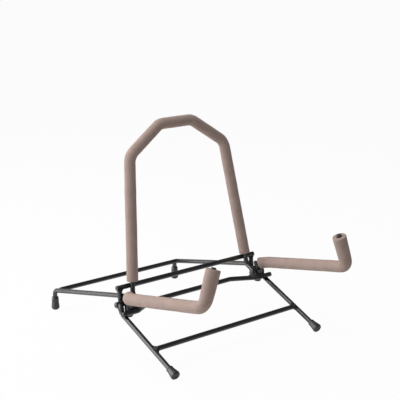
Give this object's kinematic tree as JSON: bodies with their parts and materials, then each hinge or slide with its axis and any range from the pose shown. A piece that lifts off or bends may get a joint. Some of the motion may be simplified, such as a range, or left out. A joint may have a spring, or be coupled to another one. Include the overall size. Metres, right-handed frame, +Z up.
{
  "type": "guitar stand",
  "caption": "Low folding guitar stand bent from round steel bar: a foam-sleeved back rest, foam-sleeved swinging arms, folding front legs and a folding rear frame on rubber feet.",
  "frame": {"origin": "centre of the stand's footprint, on the floor", "axes": "+X to the right seen from the front, +Y towards the rear feet, +Z up; the arms point towards -Y"},
  "size_m": [0.311, 0.4417, 0.3509],
  "materials": {
    "black_powder_coat": "gloss",
    "taupe_foam": "matte",
    "dark_rubber": "matte"
  },
  "bodies": {
    "backrest": {"backrest_rod": "black_powder_coat", "backrest_foam": "taupe_foam", "lower_cross_rod": "black_powder_coat", "pivot_sleeve_left": "black_powder_coat", "pivot_sleeve_right": "black_powder_coat", "hinge_pin_left": "black_powder_coat", "hinge_pin_right": "black_powder_coat", "hinge_washer_left": "black_powder_coat", "hinge_washer_right": "black_powder_coat"},
    "front_frame": {"front_leg_left": "black_powder_coat", "front_leg_right": "black_powder_coat", "front_crossbar": "black_powder_coat", "front_foot_tip_left": "dark_rubber", "front_foot_tip_right": "dark_rubber"},
    "rear_frame": {"upper_cross_rod": "black_powder_coat", "link_left": "black_powder_coat", "link_right": "black_powder_coat", "side_rod_left": "black_powder_coat", "side_rod_right": "black_powder_coat", "rear_crossbar": "black_powder_coat", "rear_foot_tip_left": "dark_rubber", "rear_foot_tip_right": "dark_rubber"},
    "arm_left": {"arm_rod_left": "black_powder_coat", "arm_foam_left": "taupe_foam", "arm_pivot_pin_left": "black_powder_coat", "arm_pivot_cap_left": "black_powder_coat"},
    "arm_right": {"arm_rod_right": "black_powder_coat", "arm_foam_right": "taupe_foam", "arm_pivot_pin_right": "black_powder_coat", "arm_pivot_cap_right": "black_powder_coat"}
  },
  "joints": [
    {"name": "front_fold", "type": "hinge", "parent": "backrest", "child": "front_frame", "pos_m": [0, -0.004, 0.075], "axis": [1, 0, 0], "range_deg": [0, 62]},
    {"name": "rear_fold", "type": "hinge", "parent": "backrest", "child": "rear_frame", "pos_m": [0, -0.004, 0.075], "axis": [-1, 0, 0], "range_deg": [0, 72]},
    {"name": "arm_left_swing", "type": "hinge", "parent": "backrest", "child": "arm_left", "pos_m": [-0.1352, -0.0153, 0.0877], "axis": [0, 0, -1], "range_deg": [-35, 20]},
    {"name": "arm_right_swing", "type": "hinge", "parent": "backrest", "child": "arm_right", "pos_m": [0.1352, -0.0153, 0.0877], "axis": [0, 0, 1], "range_deg": [-35, 20]}
  ]
}
